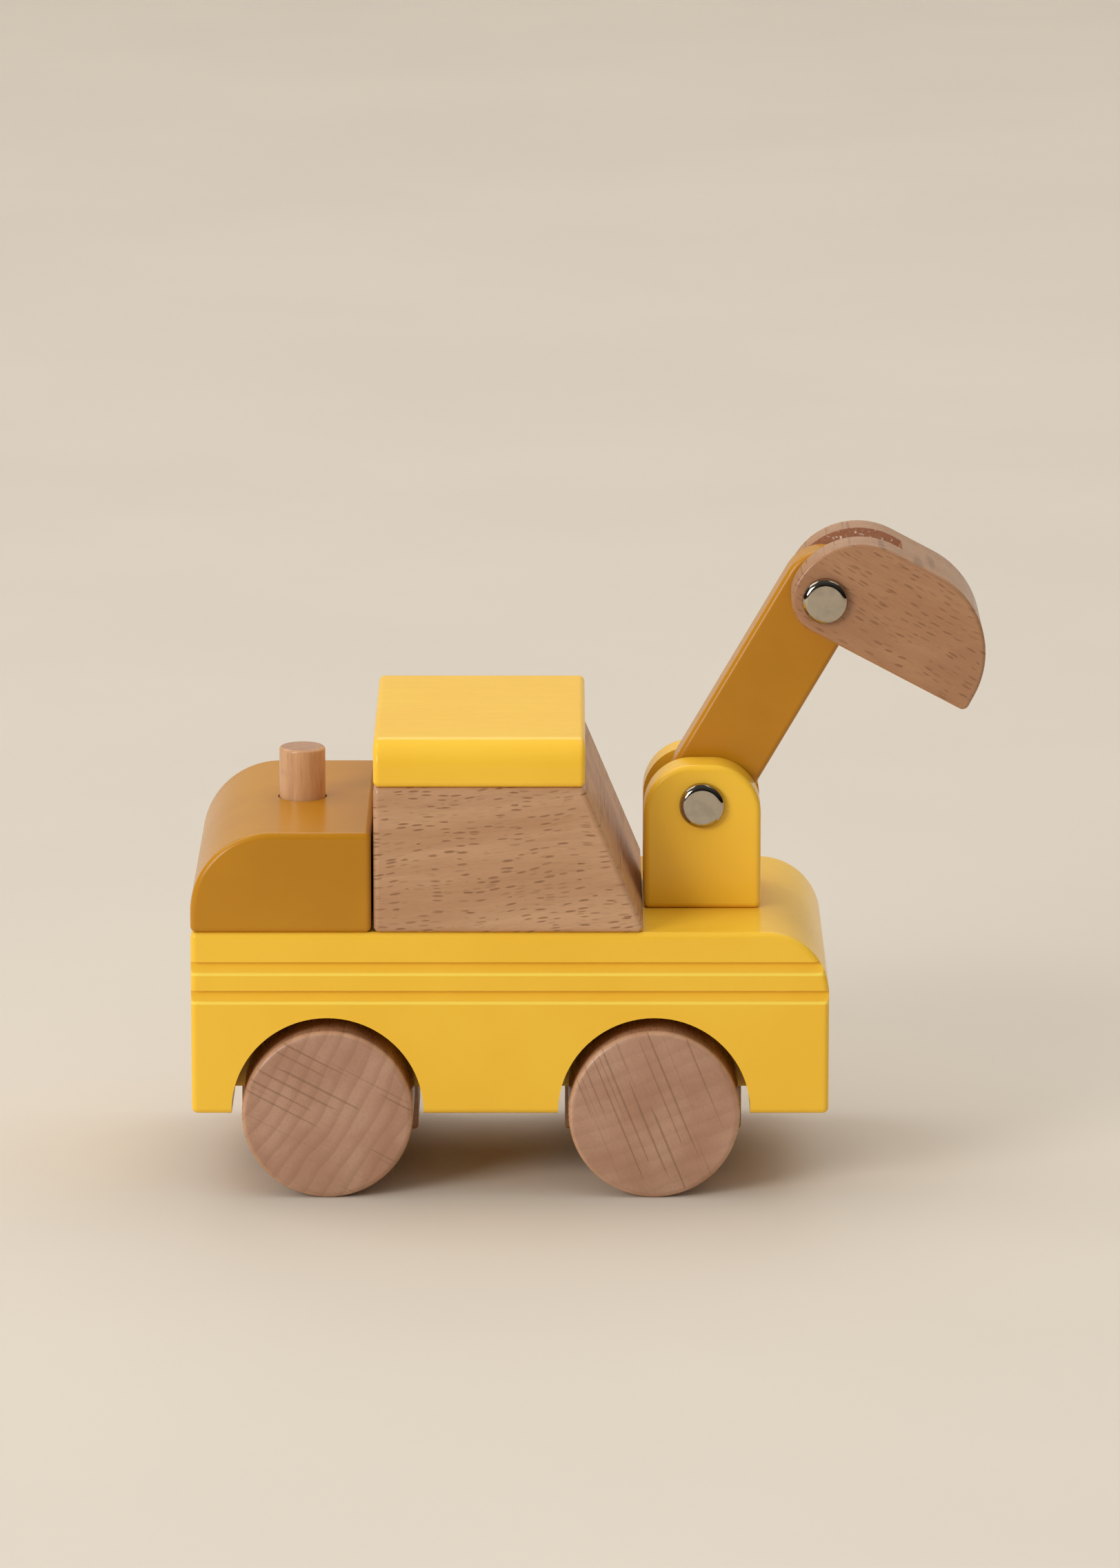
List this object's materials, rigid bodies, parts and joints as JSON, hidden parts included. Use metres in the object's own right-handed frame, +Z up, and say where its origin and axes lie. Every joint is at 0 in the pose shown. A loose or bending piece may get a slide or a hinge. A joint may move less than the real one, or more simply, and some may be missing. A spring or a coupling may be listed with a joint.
{
  "type": "toy excavator",
  "caption": "Wooden stacking-block toy excavator: a grooved chassis on wheels with lift-off hood, cab and roof blocks, and a hinged boom with a bucket.",
  "frame": {"origin": "under the middle of the whole toy as it stands, on the floor that the wheels touch", "axes": "+X forwards, towards the boom; +Y to the vehicle's left; +Z up"},
  "size_m": [0.1622, 0.072, 0.1317],
  "materials": {
    "yellow_lacquer": "glossy bright yellow lacquer on beech",
    "ochre_lacquer": "glossy mustard ochre lacquer on beech",
    "beech": "bare sanded beech, short dark flecks along the grain",
    "beech_plain": "bare sanded beech",
    "beech_end_grain": "bare beech, end grain on the flat faces",
    "beech_dowel": "bare beech dowel",
    "nickel": "polished nickel plate on steel"
  },
  "bodies": {
    "chassis": {"chassis": "yellow_lacquer", "rear_axle_block": "beech_plain", "front_axle_block": "beech_plain", "chimney_peg": "beech_dowel", "cab_peg": "beech_dowel", "boom_bracket": "yellow_lacquer", "bracket_dowels": "beech_dowel", "boom_rivet": "nickel", "boom_rivet_cap": "nickel"},
    "rear_wheels": {"rear_axle": "beech_dowel", "rear_left_wheel": "beech_end_grain", "rear_right_wheel": "beech_end_grain"},
    "front_wheels": {"front_axle": "beech_dowel", "front_left_wheel": "beech_end_grain", "front_right_wheel": "beech_end_grain"},
    "boom": {"boom": "ochre_lacquer"},
    "bucket": {"bucket": "beech", "bucket_rivet": "nickel", "bucket_rivet_cap": "nickel"},
    "hood": {"hood_block": "ochre_lacquer"},
    "cab": {"cab_block": "beech"},
    "roof": {"roof_block": "yellow_lacquer"}
  },
  "joints": [
    {"name": "rear_axle_spin", "type": "hinge", "parent": "chassis", "child": "rear_wheels", "pos_m": [-0.05337, 0, 0.0175], "axis": [0, 1, 0], "continuous": true},
    {"name": "front_axle_spin", "type": "hinge", "parent": "chassis", "child": "front_wheels", "pos_m": [0.01333, 0, 0.0175], "axis": [0, 1, 0], "continuous": true},
    {"name": "boom_pivot", "type": "hinge", "parent": "chassis", "child": "boom", "pos_m": [0.02323, 0, 0.0773], "axis": [0, 1, 0], "range_deg": [-66, 82]},
    {"name": "bucket_pivot", "type": "hinge", "parent": "boom", "child": "bucket", "pos_m": [0.0482, 0, 0.12004], "axis": [0, -1, 0], "range_deg": [-10, 172]},
    {"name": "hood_lift", "type": "slide", "parent": "chassis", "child": "hood", "axis": [0, 0, 1], "range_m": [0, 0.08]},
    {"name": "cab_lift", "type": "slide", "parent": "chassis", "child": "cab", "axis": [0, 0, 1], "range_m": [0, 0.08]},
    {"name": "roof_lift", "type": "slide", "parent": "cab", "child": "roof", "axis": [0, 0, 1], "range_m": [0, 0.05]}
  ]
}
